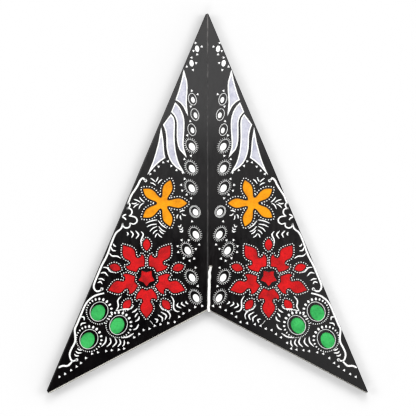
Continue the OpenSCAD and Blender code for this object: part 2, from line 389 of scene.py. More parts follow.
# %% Brush strokes and curls
LEAF_STROKES = [
    [(39.5, 105.3), (40.2, 103.4), (41.2, 101.7)], [(45.4, 104.4), (43.6, 103.2), (41.6, 101.4)],
    [(36.2, 103.6), (38.0, 102.3), (39.6, 100.0)], [(45.6, 100.8), (43.4, 100.2), (41.4, 98.6)],
    [(54.2, 89.3), (52.7, 87.2), (50.3, 85.3)], [(58.8, 87.4), (56.0, 86.7), (53.6, 85.0)],
    [(60.6, 84.4), (58.4, 84.0), (56.3, 84.7)], [(59.1, 80.7), (57.2, 82.7), (54.8, 83.8)],
    [(54.8, 79.8), (53.5, 82.7), (50.9, 84.7)], [(49.3, 68.5), (45.1, 70.2), (40.2, 71.2)],
    [(48.4, 65.4), (45.1, 67.1), (40.5, 67.8)], [(46.0, 61.8), (43.9, 64.2), (40.2, 66.0)],
    [(43.5, 59.9), (42.0, 61.9), (39.9, 63.0)], [(41.7, 57.1), (41.1, 58.9), (39.9, 60.2)],
    [(39.3, 70.6), (36.6, 67.2), (32.6, 64.2)], [(39.0, 66.0), (36.4, 63.0), (33.5, 61.7)],
    [(38.4, 63.0), (36.9, 61.1), (34.7, 59.9)], [(39.6, 60.2), (38.1, 58.3), (36.2, 57.1)],
    [(24.3, 72.2), (24.3, 74.0), (23.4, 75.5)], [(21.0, 71.2), (21.7, 73.0), (21.6, 74.8)],
    [(17.3, 74.6), (19.2, 75.0), (20.6, 76.2)], [(18.3, 78.6), (20.4, 78.4), (22.2, 77.4)],
    [(23.6, 66.2), (22.0, 65.6), (21.0, 67.4)], [(22.6, 63.9), (20.8, 63.4), (19.8, 65.3)],
    [(22.3, 61.9), (20.4, 61.5), (19.6, 63.1)],
]
CURLS = [
    [(64.3, 61.4), (63.3, 59.9), (64.0, 58.7)], [(61.5, 62.4), (59.3, 59.8), (60.5, 57.0)],
    [(57.3, 62.4), (55.0, 59.3), (57.0, 56.2)],
    [(53.0, 62.0), (51.2, 59.4), (52.9, 55.0), (52.8, 51.2)],
    [(75.0, 52.1), (74.3, 50.6), (72.8, 50.0)], [(76.8, 49.5), (75.6, 46.9), (73.0, 46.4)],
    [(78.2, 44.5), (75.9, 42.4), (72.0, 42.1), (69.0, 40.4)],
    [(83.2, 33.3), (79.9, 32.8), (77.2, 30.0), (73.5, 29.1)],
    [(85.0, 28.6), (81.7, 29.0), (79.2, 26.3)], [(86.7, 24.1), (84.2, 24.1), (81.9, 22.8)],
    [(87.4, 21.0), (85.1, 21.8), (83.7, 20.0)], [(68.6, 10.4), (71.3, 6.8), (70.9, 2.2), (72.8, -1.5)],
    [(72.8, -1.5), (66.8, -0.1), (61.3, 0.3), (58.6, 3.1)], [(59.9, -2.7), (57.6, -1.4), (55.8, 0.5)],
    [(57.6, -6.4), (56.7, -4.5), (55.3, -3.2)], [(57.6, -10.0), (54.9, -8.2), (54.2, -5.7)],
    [(59.0, -16.4), (56.3, -15.1), (54.7, -11.9)], [(68.6, -22.8), (63.1, -21.9), (58.6, -19.1)],
    [(38.4, 3.5), (36.1, 0.3), (32.0, -1.5), (29.7, -4.7), (30.4, -7.9)],
    [(29.2, 10.4), (27.0, 6.8), (27.0, 1.3), (25.2, -1.5), (22.4, -1.9)],
    [(23.4, 4.9), (24.2, 2.6), (21.0, 0.8)], [(20.2, 5.8), (20.6, 4.0), (17.9, 2.2)],
    [(16.9, 6.3), (17.2, 5.3), (15.4, 4.1)], [(42.1, -7.7), (39.8, -8.6), (40.7, -10.9)],
    [(39.4, -4.5), (36.1, -6.9), (36.1, -10.0)], [(37.1, -2.2), (32.9, -5.0), (33.9, -8.6)],
    [(45.7, -9.1), (43.4, -11.9)], [(80.5, -21.9), (81.0, -26.1), (84.2, -29.7)],
    [(77.5, -22.8), (76.8, -26.5), (80.0, -29.9)], [(73.6, -22.8), (72.4, -26.5), (75.5, -30.1)],
    [(70.0, -23.8), (69.1, -26.9), (71.3, -29.9)], [(66.1, -24.6), (66.1, -27.4), (67.5, -29.7)],
    [(100.8, -6.1), (98.3, -6.4), (97.9, -8.8)], [(100.7, -13.2), (99.7, -11.4), (96.5, -10.9)],
    [(103.4, -31.3), (101.5, -32.4), (99.3, -32.4)], [(104.7, -33.3), (102.9, -34.7), (99.9, -34.7)],
    [(105.7, -35.6), (104.3, -37.0), (102.0, -37.0)],
]
for line in LEAF_STROKES:
    stroke(line, 0.78, 0.35)
for line in CURLS:
    stroke(line, 1.0, 0.25)
print(len(LEAF_STROKES), "leaf strokes and", len(CURLS), "curls")

# %% The scroll along the outer edge
RIDGE_FROM = Vector((0, 238.0))
RIDGE_INWARD = Vector((-0.9226, -0.3857))


def off_the_edge(point, room=0.75):
    """The point, or the nearest one that keeps its ink clear of the ridge."""
    depth = (Vector(point) - RIDGE_FROM).dot(RIDGE_INWARD)
    return Vector(point) + RIDGE_INWARD * max(0.0, room - depth)


SCROLLS = [
    [(49.1, 102.4), (50.2, 103.1), (51.6, 104.5), (53.7, 102.7), (55.6, 98.8), (58.3, 94.5),
     (60.8, 91.0), (62.9, 87.7), (64.2, 84.2)],
    [(67.4, 68.4), (68.9, 64.2), (73.2, 60.2), (76.8, 51.6), (78.7, 46.1), (81.0, 40.6), (85.1, 35.1),
     (88.3, 28.7), (90.1, 22.3), (90.5, 17.7), (88.7, 14.5), (86.0, 14.5), (83.7, 16.3)],
    [(82.3, 12.7), (87.8, 11.3), (91.5, 9.5), (95.2, 6.3), (98.3, 2.2), (101.1, -4.2), (102.5, -5.9),
     (105.2, -11.4), (105.8, -15.9), (105.0, -21.4), (105.2, -26.1), (107.5, -30.6), (109.3, -35.1),
     (108.9, -38.8), (107.0, -41.1), (103.4, -40.2)],
    [(107.0, -41.1), (110.7, -44.8), (115.2, -45.0), (118.4, -46.4)],
]
EDGE_FLOWER = [
    [(64.2, 84.2), (62.6, 84.4), (61.9, 82.9), (62.7, 81.0), (64.6, 79.9)],
    [(64.6, 79.9), (62.6, 80.3), (60.7, 79.2), (60.2, 77.2), (61.0, 75.3), (62.6, 74.2)],
    [(62.6, 74.2), (60.2, 74.0), (57.6, 73.2), (56.2, 71.2), (56.7, 69.1), (59.0, 67.8),
     (62.0, 68.6)],
    [(62.0, 68.6), (61.7, 66.6), (63.2, 64.9), (65.5, 64.8), (67.2, 66.2), (67.4, 68.4)],
    [(64.9, 75.5), (66.6, 74.8), (68.0, 73.4)],
    [(68.0, 73.4), (66.2, 72.6), (64.9, 71.2)],
]
SCROLL_ENDS = [(49.4, 102.5), (84.0, 16.0), (103.8, -40.2)]
SCROLL_WIDTH = 1.35
for line in SCROLLS:
    stroke([off_the_edge(p) for p in line], SCROLL_WIDTH, 0.75)
for line in EDGE_FLOWER:
    stroke([off_the_edge(p, 0.55) for p in line], 1.0, 0.7)
for place in SCROLL_ENDS:
    ink.slab(oval(place, 1.15, 1.15, count=12))
print(len(ink.faces), "faces of ink on each panel")

# %% [markdown]
# ## Colours and materials
# Screen-printed card, ink, tissue and cotton are all dielectrics, so their metallic is 0 and their
# IOR stays at 1.5. What tells them apart is roughness and small relief: satin ink on card, matt
# film ink, crumpled tissue, twisted cotton. Two functions serve every material: one turns a hex
# colour into the linear numbers that shaders use, and one adds a node with its settings and links.


# %% A colour function and a node function
def linear(code, alpha=1.0):
    """An sRGB hex colour as linear RGBA."""
    parts = [int(code[i:i + 2], 16) / 255 for i in (1, 3, 5)]
    return [p / 12.92 if p <= 0.04045 else ((p + 0.055) / 1.055) ** 2.4 for p in parts] + [alpha]


def add(tree, kind, sockets=None, **settings):
    """Adds a shader node. A socket's value is a number, a colour, or (node, output) to link."""
    made = tree.nodes.new("ShaderNode" + kind)
    for name, value in settings.items():
        setattr(made, name, value)
    for name, value in (sockets or {}).items():
        if isinstance(value, tuple) and hasattr(value[0], "outputs"):
            tree.links.new(value[0].outputs[value[1]], made.inputs[name])
        else:
            made.inputs[name].default_value = value
    return made


def start_material(name):
    """A material with an empty tree, the place on the object as coordinates, and its maker."""
    material = bpy.data.materials.new(name)
    material.use_nodes = True
    tree = material.node_tree
    tree.nodes.clear()
    return material, tree, add(tree, "TexCoord")


def finish_material(tree, **sockets):
    """Closes the tree with one shader. Names use _ for a space."""
    names = {name.replace("_", " "): value for name, value in sockets.items()}
    shader = add(tree, "BsdfPrincipled", names)
    add(tree, "OutputMaterial", {"Surface": (shader, "BSDF")})


def per_mm(size):
    """Scale of a noise or wave whose features are size millimetres wide."""
    return 1.0 / (size * MM)


# A colour mix has its two colours in sockets 6 and 7, and its result in output 2.
COLOR_A, COLOR_B, MIXED = 6, 7, 2

# %% [markdown]
# ### Black printed card
# Offset or screen ink on 0.4 mm card, with a satin seal. It gives the eye a deep warm black, a soft
# sheen, and the faint grain of the board under the ink. The grain is about 0.3 mm on real board.
# Here it is 0.9 mm, because a finer one would not show. The seal is rolled on along the sheet, so
# its gloss changes a little in streaks about 2 mm wide and four times as long. The black itself
# drifts a little over 14 mm.

# %% Black printed card
GRAIN = 0.9
MOTTLE = 14.0
STREAK = 2.2
printed_card, tree, place = start_material("black_printed_card")
grain = add(tree, "TexNoise", {"Vector": (place, "Object"), "Scale": per_mm(GRAIN), "Detail": 3.0})
mottle = add(tree, "TexNoise", {"Vector": (place, "Object"), "Scale": per_mm(MOTTLE), "Detail": 4.0})
tone = add(tree, "MapRange", {"Value": (mottle, "Fac"), "From Min": 0.35, "From Max": 0.68})
tint = add(
    tree, "Mix",
    {"Factor": (tone, "Result"), COLOR_A: linear("#050405"), COLOR_B: linear("#0C090A")},
    data_type="RGBA",
)
speck = add(
    tree, "MapRange", {"Value": (grain, "Fac"), "From Min": 0.66, "From Max": 0.8, "To Max": 0.16}
)
rubbed = add(
    tree, "Mix",
    {"Factor": (speck, "Result"), COLOR_A: (tint, MIXED), COLOR_B: linear("#4A4647")},
    data_type="RGBA",
)
rolled = add(tree, "Mapping", {"Vector": (place, "Object"), "Scale": (1.0, 0.25, 1.0)})
streaks = add(
    tree, "TexNoise", {"Vector": (rolled, "Vector"), "Scale": per_mm(STREAK), "Detail": 4.0}
)
satin = add(
    tree, "MapRange",
    {"Value": (streaks, "Fac"), "From Min": 0.3, "From Max": 0.7, "To Min": 0.11, "To Max": 0.24},
)
relief = add(tree, "Bump", {"Height": (grain, "Fac"), "Strength": 0.2, "Distance": 0.05 * MM})
finish_material(
    tree, Base_Color=(rubbed, MIXED), Roughness=(satin, "Result"), Normal=(relief, "Normal"), IOR=1.5
)
print("black_printed_card made of", len(tree.nodes), "nodes")

# %% [markdown]
# ### The board's white core
# The cut edges and the unprinted inside show the board itself: off-white, matt, and fibrous. Its
# fibres run mostly one way, so a noise 0.7 mm wide is stretched along Y.

# %% White core of the card
FIBRE = 0.7
card_core, tree, place = start_material("white_card_core")
along_grain = add(tree, "Mapping", {"Vector": (place, "Object"), "Scale": (1.0, 0.3, 1.0)})
fibres = add(
    tree, "TexNoise", {"Vector": (along_grain, "Vector"), "Scale": per_mm(FIBRE), "Detail": 4.0}
)
tint = add(
    tree, "Mix",
    {"Factor": (fibres, "Fac"), COLOR_A: linear("#C9C5BD"), COLOR_B: linear("#E9E6DF")},
    data_type="RGBA",
)
relief = add(tree, "Bump", {"Height": (fibres, "Fac"), "Strength": 0.3, "Distance": 0.05 * MM})
finish_material(tree, Base_Color=(tint, MIXED), Roughness=0.85, Normal=(relief, "Normal"), IOR=1.5)

# %% [markdown]
# ### White screen ink
# Opaque white ink is nearly matt and a little uneven: where the screen carried less of it, the
# black shows through as a faint grey, in patches about 2.4 mm wide.

# %% White screen ink
INK_PATCH = 2.4
white_ink, tree, place = start_material("white_screen_ink")
patch = add(tree, "TexNoise", {"Vector": (place, "Object"), "Scale": per_mm(INK_PATCH), "Detail": 3.0})
thin = add(
    tree, "MapRange", {"Value": (patch, "Fac"), "From Min": 0.55, "From Max": 0.78, "To Max": 0.35}
)
tint = add(
    tree, "Mix",
    {"Factor": (thin, "Result"), COLOR_A: linear("#FBFBFA"), COLOR_B: linear("#BEBDC0")},
    data_type="RGBA",
)
relief = add(tree, "Bump", {"Height": (patch, "Fac"), "Strength": 0.15, "Distance": 0.03 * MM})
finish_material(tree, Base_Color=(tint, MIXED), Roughness=0.6, Normal=(relief, "Normal"), IOR=1.5)

# %% [markdown]
# ### Tissue
# Tissue paper is soft, matt and slightly see-through. In the stack, each sheet lies on nine more,
# so its colour is full and a little blotchy: darker where sheets touch, lighter where they lift.
# It has fine creases from handling. The creases are the ridges of a warped noise, about 5 mm
# apart. They are raised a little, and painted darker as painted shade along each crease.
# The cloudiness is 9 mm wide, and flecks of about 1 mm stand for its fibres. Its surface is so
# open that it has almost no gloss, so its specular level is low.


# %% Four colours of tissue
TISSUE_COLOURS = {
    "white": ("#C8C8D1", "#9A9BB0"),
    "orange": ("#F09C02", "#C67800"),
    "red": ("#D40C11", "#84040A"),
    "green": ("#3FBC60", "#1C8740"),
}
CREASE_SPACING = 5.0
CLOUD = 9.0
FLECK = 1.1


def tissue_material(name, light, dark):
    material, tree, place = start_material(f"{name}_tissue")
    cloud = add(tree, "TexNoise", {"Vector": (place, "Object"), "Scale": per_mm(CLOUD), "Detail": 3.0})
    folds = add(
        tree, "TexNoise",
        {"Vector": (place, "Object"), "Scale": per_mm(CREASE_SPACING), "Detail": 2.0, "Distortion": 0.8},
    )
    centred = add(tree, "Math", {0: (folds, "Fac"), 1: 0.5}, operation="SUBTRACT")
    ridge = add(tree, "Math", {0: (centred, "Value")}, operation="ABSOLUTE")
    crease = add(
        tree, "MapRange", {"Value": (ridge, "Value"), "From Max": 0.05, "To Min": 1.0, "To Max": 0.0}
    )
    fibre = add(tree, "TexNoise", {"Vector": (place, "Object"), "Scale": per_mm(FLECK), "Detail": 3.0})
    shade = add(
        tree, "MapRange", {"Value": (cloud, "Fac"), "From Min": 0.42, "From Max": 0.7, "To Max": 0.65}
    )
    # Painted shade: the creases are darkened in colour, as if shaded.
    crease_shade = add(tree, "Math", {0: (crease, "Result"), 1: 0.28}, operation="MULTIPLY")
    blotches_and_crease_shade = add(tree, "Math", {0: (shade, "Result"), 1: (crease_shade, "Value")}, operation="MAXIMUM")
    flecks = add(
        tree, "MapRange", {"Value": (fibre, "Fac"), "From Min": 0.4, "From Max": 0.75, "To Max": 0.45}
    )
    both = add(
        tree, "Math", {0: (blotches_and_crease_shade, "Value"), 1: (flecks, "Result")}, operation="ADD", use_clamp=True
    )
    tint = add(
        tree, "Mix",
        {"Factor": (both, "Value"), COLOR_A: linear(light), COLOR_B: linear(dark)},
        data_type="RGBA",
    )
    height = add(
        tree, "Math", {0: (crease, "Result"), 1: 0.6, 2: (fibre, "Fac")}, operation="MULTIPLY_ADD"
    )
    relief = add(tree, "Bump", {"Height": (height, "Value"), "Strength": 0.35, "Distance": 0.12 * MM})
    finish_material(
        tree, Base_Color=(tint, MIXED), Roughness=0.7, Normal=(relief, "Normal"), IOR=1.5,
        Specular_IOR_Level=0.2,
    )
    return material


tissue_materials = {name: tissue_material(name, *pair) for name, pair in TISSUE_COLOURS.items()}
print("tissue in", ", ".join(tissue_materials))

# %% [markdown]
# ### Folds: cracked ink and a painted highlight
# A scored fold in printed card cracks its ink, which shows here as relief. Its colour is painted
# pale as a painted highlight along the fold, most of all towards the sharp point of the star. The
# pale streaks are about 0.8 mm wide. They come from a noise drawn out along the fold, and they get
# stronger towards the point.

# %% Fold: cracked relief and a painted highlight
PALE_STREAK = 0.8
fold_painted_highlight, tree, place = start_material("fold_painted_highlight")
drawn = add(tree, "Mapping", {"Vector": (place, "Object"), "Scale": (1.0, 0.16, 1.0)})
cracks = add(tree, "TexNoise", {"Vector": (drawn, "Vector"), "Scale": per_mm(PALE_STREAK), "Detail": 3.0})
axes = add(tree, "SeparateXYZ", {"Vector": (place, "Object")})
to_point = add(
    tree, "MapRange",
    {"Value": (axes, "Y"), "From Min": 0.1, "From Max": 0.15, "To Min": 0.0, "To Max": 0.2},
)
# Painted highlight: the fold's colour is painted paler, more so towards the point.
highlight_and_cracks = add(tree, "Math", {0: (cracks, "Fac"), 1: (to_point, "Result")}, operation="ADD")
pale = add(
    tree, "MapRange", {"Value": (highlight_and_cracks, "Value"), "From Min": 0.5, "From Max": 0.9, "To Max": 0.6}
)
tint = add(
    tree, "Mix",
    {"Factor": (pale, "Result"), COLOR_A: linear("#151314"), COLOR_B: linear("#8E8A88")},
    data_type="RGBA",
)
relief = add(tree, "Bump", {"Height": (cracks, "Fac"), "Strength": 0.4, "Distance": 0.06 * MM})
finish_material(tree, Base_Color=(tint, MIXED), Roughness=0.55, Normal=(relief, "Normal"), IOR=1.5)

# %% [markdown]
# ### Cotton cord
# Soft white cotton: no gloss and a fuzzy edge from its sheen. Grey is painted where its fibre
# relief is low, as painted shade between the fibres, which are drawn 0.35 mm wide.

# %% Cotton
FUZZ = 0.35
cotton, tree, place = start_material("white_cotton")
fuzz = add(tree, "TexNoise", {"Vector": (place, "Object"), "Scale": per_mm(FUZZ), "Detail": 2.0})
# Painted shade: the low parts of the fibre relief are painted grey.
tint = add(
    tree, "Mix",
    {"Factor": (fuzz, "Fac"), COLOR_A: linear("#E6E4DF"), COLOR_B: linear("#FFFFFF")},
    data_type="RGBA",
)
relief = add(tree, "Bump", {"Height": (fuzz, "Fac"), "Strength": 0.5, "Distance": 0.08 * MM})
finish_material(
    tree, Base_Color=(tint, MIXED), Roughness=0.9, Normal=(relief, "Normal"), IOR=1.5,
    Sheen_Weight=0.4, Sheen_Roughness=0.5,
)

# %% [markdown]
# ## Finishing the CAD card
# Each card panel keeps its CAD shape. Only its printed face is black: the cut edges and the inside
# show the board. So every panel gets two materials, chosen face by face from the way it looks.

# %% Put ink and board on the card panels
def dress(name, up):
    """Black on the faces that look the printed way, board on the rest."""
    mesh = nodes[name].data
    mesh.materials.clear()
    mesh.materials.append(printed_card)
    mesh.materials.append(card_core)
    sides = [0 if face.normal.z * up > 0.9 else 1 for face in mesh.polygons]
    mesh.polygons.foreach_set("material_index", sides)


for name, node in nodes.items():
    if name.endswith("_card"):
        level, side = name.split("_")[2:4]
        dress(name, hand(level, side)[1])
    elif name.endswith("_tab"):
        node.data.materials.clear()
        node.data.materials.append(card_core)
print("dressed", sum(name.endswith("_card") for name in nodes), "panels")

# %% [markdown]
# ## Laying the ink
# The ink film is 0.035 mm thick and its back is 0.01 mm over the card, so that no two faces share
# a plane. The four kinds of panel need four designs, and each arm gets a copy, one arm higher.

# %% Print every panel
INK_LIFT = 0.01
INK_FILM = 0.035


def make_piece(name, mesh, body, *materials):
    """An object from a mesh, with its finish, riding on a body of the model."""
    for material in materials:
        mesh.materials.append(material)
    piece = bpy.data.objects.new(name, mesh)
    bpy.context.scene.collection.objects.link(piece)
    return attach(piece, body) if body else piece


def mesh_from(name, corners, faces, flip=False):
    mesh = bpy.data.meshes.new(name)
    mesh.from_pydata(corners, [], [face[::-1] for face in faces] if flip else faces)
    mesh.validate()
    return mesh


def raised(mesh, height):
    """A copy of a mesh, moved up by height metres."""
    copy = mesh.copy()
    for vertex in copy.vertices:
        vertex.co.z += height
    return copy


for level in LEVELS:
    for side in SIDES:
        across, up = hand(level, side)
        base = face_height(1, level)
        corners = [
            (u * across * MM, v * MM + NOTCH_Y, base + up * (INK_LIFT + INK_FILM * lift) * MM)
            for u, v, lift in ink.corners
        ]
        print_mesh = mesh_from("white_print", corners, ink.faces, flip=across * up < 0)
        for arm in ARMS:
            body = f"arm_{arm}_{level}_{side}"
            lifted = raised(print_mesh, (arm - 1) * ARM_STEP)
            piece = make_piece(f"{body}_print", lifted, body, white_ink)
print("printed", len(ARMS) * 4, "panels")

# %% [markdown]
# ## Crinkled tissue
# The CAD tissue is flat slabs. The real sheets are cut roughly, glued on and slightly crumpled. Each
# patch is cut into 2 mm cells, and its points are lifted by two layers of smooth noise, one for
# broad waves and one for small crinkles. It stays inside the space that the CAD sheet holds.

# %% Patches in one panel
WHITE_PATCH = [(12.5, 190), (16, 108.5), (46, 108.5), (50.5, 111), (18, 191)]
ORANGE_PATCH = [(13, 107.5), (13, 63), (55.5, 63), (53.8, 96), (48, 107.5)]
TISSUE_CELL = 2.0
TISSUE_LIFT = 0.04
TISSUE_WAVE = 0.1
TISSUE_SHEET = 0.035
TISSUE_FLOOR = 0.01
GLUE_MARGIN = 5.3
BURST_PATCH = 35.3
OVAL_PATCH = 8.8
WAVE = 9.0
CRINKLES_PER_WAVE = 3.1


def ten_sided(centre, radius, turn):
    """A ten-sided patch, pulled in where it would come near the ridge."""
    kept = []
    for p in oval(centre, radius, radius, turn, 10):
        depth = (Vector(p) - RIDGE_FROM).dot(RIDGE_INWARD)
        kept.append(tuple(Vector(p) + RIDGE_INWARD * max(0.0, GLUE_MARGIN - depth)))
    return kept


patches = [("white", WHITE_PATCH), ("orange", ORANGE_PATCH)]
patches += [("red", ten_sided(BURST_AT, BURST_PATCH, 18))]
patches += [("green", ten_sided(middle(window), OVAL_PATCH, 0)) for window in ovals]
slots = list(tissue_materials)


# %% Crumple the patches and glue them in
def crumpled_patch(bm, outline, slot, seed):
    """Adds one patch of tissue to bm, cut into cells and lifted off the card by noise."""
    corners = [bm.verts.new((u, v, 0)) for u, v in counter_clockwise(outline)]
    region = [bm.faces.new(corners)]
    for axis in (0, 1):
        values = [p[axis] for p in outline]
        cut = math.ceil(min(values) / TISSUE_CELL) * TISSUE_CELL
        while cut < max(values):
            point, normal = [0.0, 0.0, 0.0], [0.0, 0.0, 0.0]
            point[axis], normal[axis] = cut, 1.0
            around = {e for f in region for e in f.edges} | {v for f in region for v in f.verts}
            cells = bmesh.ops.bisect_plane(
                bm, geom=region + list(around), plane_co=point, plane_no=normal, dist=1e-5
            )
            region = list({g for g in cells["geom"] if isinstance(g, bmesh.types.BMFace)})
            cut += TISSUE_CELL
    for face in region:
        face.material_index = slot
    for vertex in {v for f in region for v in f.verts}:
        spot = Vector((vertex.co.x / WAVE, vertex.co.y / WAVE, seed * 7.3))
        swing = noise.noise(spot) * 0.5 + noise.noise(spot * CRINKLES_PER_WAVE) * 0.35
        vertex.co.z = max(TISSUE_FLOOR, TISSUE_LIFT + TISSUE_WAVE * (0.5 + swing))


def tissue_mesh(level, side, seed):
    across, up = hand(level, side)
    inner = face_height(1, level) - up * CARD * MM
    bm = bmesh.new()
    for number, (colour, outline) in enumerate(patches):
        crumpled_patch(bm, outline, slots.index(colour), seed + number)
    bmesh.ops.solidify(bm, geom=list(bm.faces), thickness=-TISSUE_SHEET)
    for vertex in bm.verts:
        u, v, height = vertex.co
        vertex.co = (u * across * MM, v * MM + NOTCH_Y, inner - up * height * MM)
    bmesh.ops.recalc_face_normals(bm, faces=bm.faces)
    mesh = bpy.data.meshes.new("tissue")
    bm.to_mesh(mesh)
    bm.free()
    mesh.polygons.foreach_set("use_smooth", [True] * len(mesh.polygons))
    return mesh


for seed, (level, side) in enumerate((level, side) for level in LEVELS for side in SIDES):
    sheet = tissue_mesh(level, side, 3 * seed)
    for arm in ARMS:
        body = f"arm_{arm}_{level}_{side}"
        lifted = raised(sheet, (arm - 1) * ARM_STEP)
        piece = make_piece(f"{body}_tissue_sheets", lifted, body, *tissue_materials.values())
        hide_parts(f"{body}_tissue")
print("tissue of", len(sheet.polygons), "faces behind each panel")

# %% [markdown]
# ## Folds
# In the real star a fold is the card itself, bent round. The CAD model leaves a hairline there, so
# that its panels can turn. Here each fold is a strip of its own. A strip is a closed outline swept
# along the fold line.


# %% Sweep an outline along a line
def swept(name, start, end, outline, stations, material):
    """A strip from start to end. Its outline gives offsets from the line."""
    start, end = Vector(start), Vector(end)
    corners, faces, count = [], [], len(outline)
    for i in range(stations):
        at = start.lerp(end, i / (stations - 1))
        corners += [tuple(at + offset * MM) for offset in outline]
    for i in range(stations - 1):
        for k in range(count):
            a, b = i * count + k, i * count + (k + 1) % count
            faces.append([a, b, b + count, a + count])
    faces.append(list(range(count))[::-1])
    faces.append([(stations - 1) * count + k for k in range(count)])
    mesh = mesh_from(name, corners, faces)
    bm = bmesh.new()
    bm.from_mesh(mesh)
    bmesh.ops.recalc_face_normals(bm, faces=bm.faces)
    bm.to_mesh(mesh)
    bm.free()
    piece = make_piece(name, mesh, None, material)
    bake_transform(piece)
    return piece


# %% Side creases
CREASE_HALF = 0.5
CREASE_TOP = SHEET_TOP - 0.4
CREASE_FOOT = 0.3
TIE_ROOM = 4.2
columns = [-1.0, -0.6, -0.3, 0.0, 0.3, 0.6, 1.0]
swell = [0.012, 0.04, 0.055, 0.06, 0.055, 0.04, 0.012]
for arm in ARMS:
    for level in LEVELS:
        up = hand(level, "back")[1]
        z = face_height(arm, level)
        outline = [Vector((c * CREASE_HALF, 0, up * h)) for c, h in zip(columns, swell)]
        outline += [Vector((c * CREASE_HALF, 0, up * 0.005)) for c in reversed(columns)]
        foot = TIE_ROOM if (arm, level) == (1, "low") else CREASE_FOOT
        swept(
            f"arm_{arm}_{level}_fold",
            (0, NOTCH_Y + foot * MM, z), (0, NOTCH_Y + CREASE_TOP * MM, z),
            outline, 60, fold_painted_highlight,
        )
print("ten side creases")

# %% Rounded folds at the ridges and valleys of the front half
WING = Vector((-0.127497, NOTCH_Y - 0.066937, 0))
POINT = Vector((0, NOTCH_Y + 0.238, 0))
NOTCH = Vector((0, NOTCH_Y, 0))
POINT_TRIM, NOTCH_TRIM, WING_TRIM = 1.8, 0.6, 2.0
RIDGE_ROUND = {"outer": 0.69, "inner": 0.31, "tail": -0.12}
VALLEY_ROUND = {"outer": 0.49, "inner": 0.11, "tail": -0.12}


def bent_sheet(outward, outer, inner, tail):
    """Section of card bent back on itself, open towards the panels."""
    turns = [math.radians(-90 + 22.5 * k) for k in range(9)]
    rim = [(tail, -outer)] + [(outer * math.cos(t), outer * math.sin(t)) for t in turns]
    rim += [(tail, outer)]
    back = [(tail, inner)] + [(inner * math.cos(t), inner * math.sin(t)) for t in reversed(turns)]
    back += [(tail, -inner)]
    return [outward * n + Vector((0, 0, z)) for n, z in rim + back]


def fold_line(a, b, trim_a, trim_b, z):
    """Both ends of a fold, trimmed, and the way it runs. Trims are in millimetres."""
    along = (b - a).normalized()
    start, end = a + along * trim_a * MM, b - along * trim_b * MM
    start.z = end.z = z
    return start, end, along


for arm in ARMS:
    middle_z = (face_height(arm, "low") + face_height(arm, "up")) / 2
    start, end, along = fold_line(POINT, WING, POINT_TRIM, WING_TRIM, middle_z)
    outward = Vector((along.y, -along.x, 0))
    outward = outward if outward.x < 0 else -outward
    outline = bent_sheet(outward, **RIDGE_ROUND)
    swept(f"arm_{arm}_ridge_fold", start, end, outline, 24, printed_card)
    if arm == 5:
        break
    middle_z = (face_height(arm, "up") + face_height(arm + 1, "low")) / 2
    start, end, along = fold_line(NOTCH, WING, NOTCH_TRIM, WING_TRIM, middle_z)
    outward = Vector((along.y, -along.x, 0))
    outward = outward if outward.y < 0 else -outward
    outline = bent_sheet(outward, **VALLEY_ROUND)
    swept(f"valley_{arm}_{arm + 1}_fold", start, end, outline, 16, card_core)
print("five ridge folds and four valley folds")

# %% [markdown]
# ## The ridge side of the lower back panels
# The CAD cuts those panels back by under a degree, so that its stiff plates can pass each other on
# the way. Real card gives instead, and reaches its ridge. A wedge of the same card fills each one
# out to the full outline.

# %% Fill each lower back panel out to its ridge
def far_corners(outlines, score):
    """The corner of each outline that scores highest."""
    return [max(outline, key=score) for outline in outlines]


for arm in ARMS:
    name = f"arm_{arm}_low_back"
    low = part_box(f"{name}_card")[0]
    cut = max(face_loops(f"{name}_card", "low", "back"), key=lambda loop: abs(signed_area(loop)))
    both = (OUTLINE, cut)
    ridge_top = far_corners(both, lambda p: p[1] * 50 + p[0])
    ridge_end = far_corners(both, lambda p: p[0])
    valley_end = far_corners(both, lambda p: -p[1])
    wedge = [ridge_top[0], ridge_end[0], valley_end[0], valley_end[1], ridge_end[1], ridge_top[1]]
    filler = InkSheet()
    filler.slab(wedge)
    corners = [
        (u * MM, v * MM + NOTCH_Y, low.z + CARD * MM * lift) for u, v, lift in filler.corners
    ]
    mesh = mesh_from(name, corners, filler.faces)
    piece = make_piece(f"{name}_edge", mesh, name, printed_card, card_core)
    sides = [0 if face.normal.z < -0.9 else 1 for face in mesh.polygons]
    mesh.polygons.foreach_set("material_index", sides)
print("wedge from", wedge[0], "to", wedge[1])

# %% [markdown]
# ## The cotton tie
# A white cotton loop, about 2.2 mm wide, goes through a punched hole beside the crease and round
# the edge of the notch. It is laid as a closed tube along the CAD tie's route, thin under the
# card and plump on top, with three plies that twist once every 7 mm.

# %% Lay the tie
TIE_PLIES = 3
TIE_PITCH = 7.0
TIE_SIDES = 24
TIE_STEP = 5
OVER, UNDER, CARD_MIDDLE = 8.41, 7.19, 7.8
BEND = (OVER - UNDER) / 2


def tie_route():
    """Places round the loop: u, v, z, half width and half height, in millimetres."""
    half_turn = [math.radians(a) for a in range(-90, 91, 30)]
    route = [(2.0, 14, UNDER, 1.1, 0.15), (2.2, 24, UNDER, 1.1, 0.15), (2.3, 31.4, UNDER, 0.9, 0.15)]
    route += [
        (2.3, 32.75 + 0.62 * math.cos(a), CARD_MIDDLE + BEND * math.sin(a), 0.8,
         0.28 + 0.1 * math.sin(a))
        for a in half_turn
    ]
    route += [(1.95, 31.1, OVER, 1.02, 0.48)]
    for i in range(9):
        sway = 0.08 * math.sin(2.1 * i)
        route.append((1.55 - 0.75 * i / 8 + sway, 29.5 - 3.5 * i, OVER, 1.04, 0.53 - 0.03 * (i % 2)))
    route += [(0.87, -0.7, OVER - 0.05, 1.0, 0.42)]
    route += [
        (1.25 + 0.35 * math.sin(a), -1.3 - 0.7 * math.cos(a),
         CARD_MIDDLE - (BEND - 0.04) * math.sin(a), 0.95, 0.25 - 0.05 * math.sin(a))
        for a in half_turn
    ]
    return route + [(1.75, 0.6, UNDER, 1.05, 0.15)]


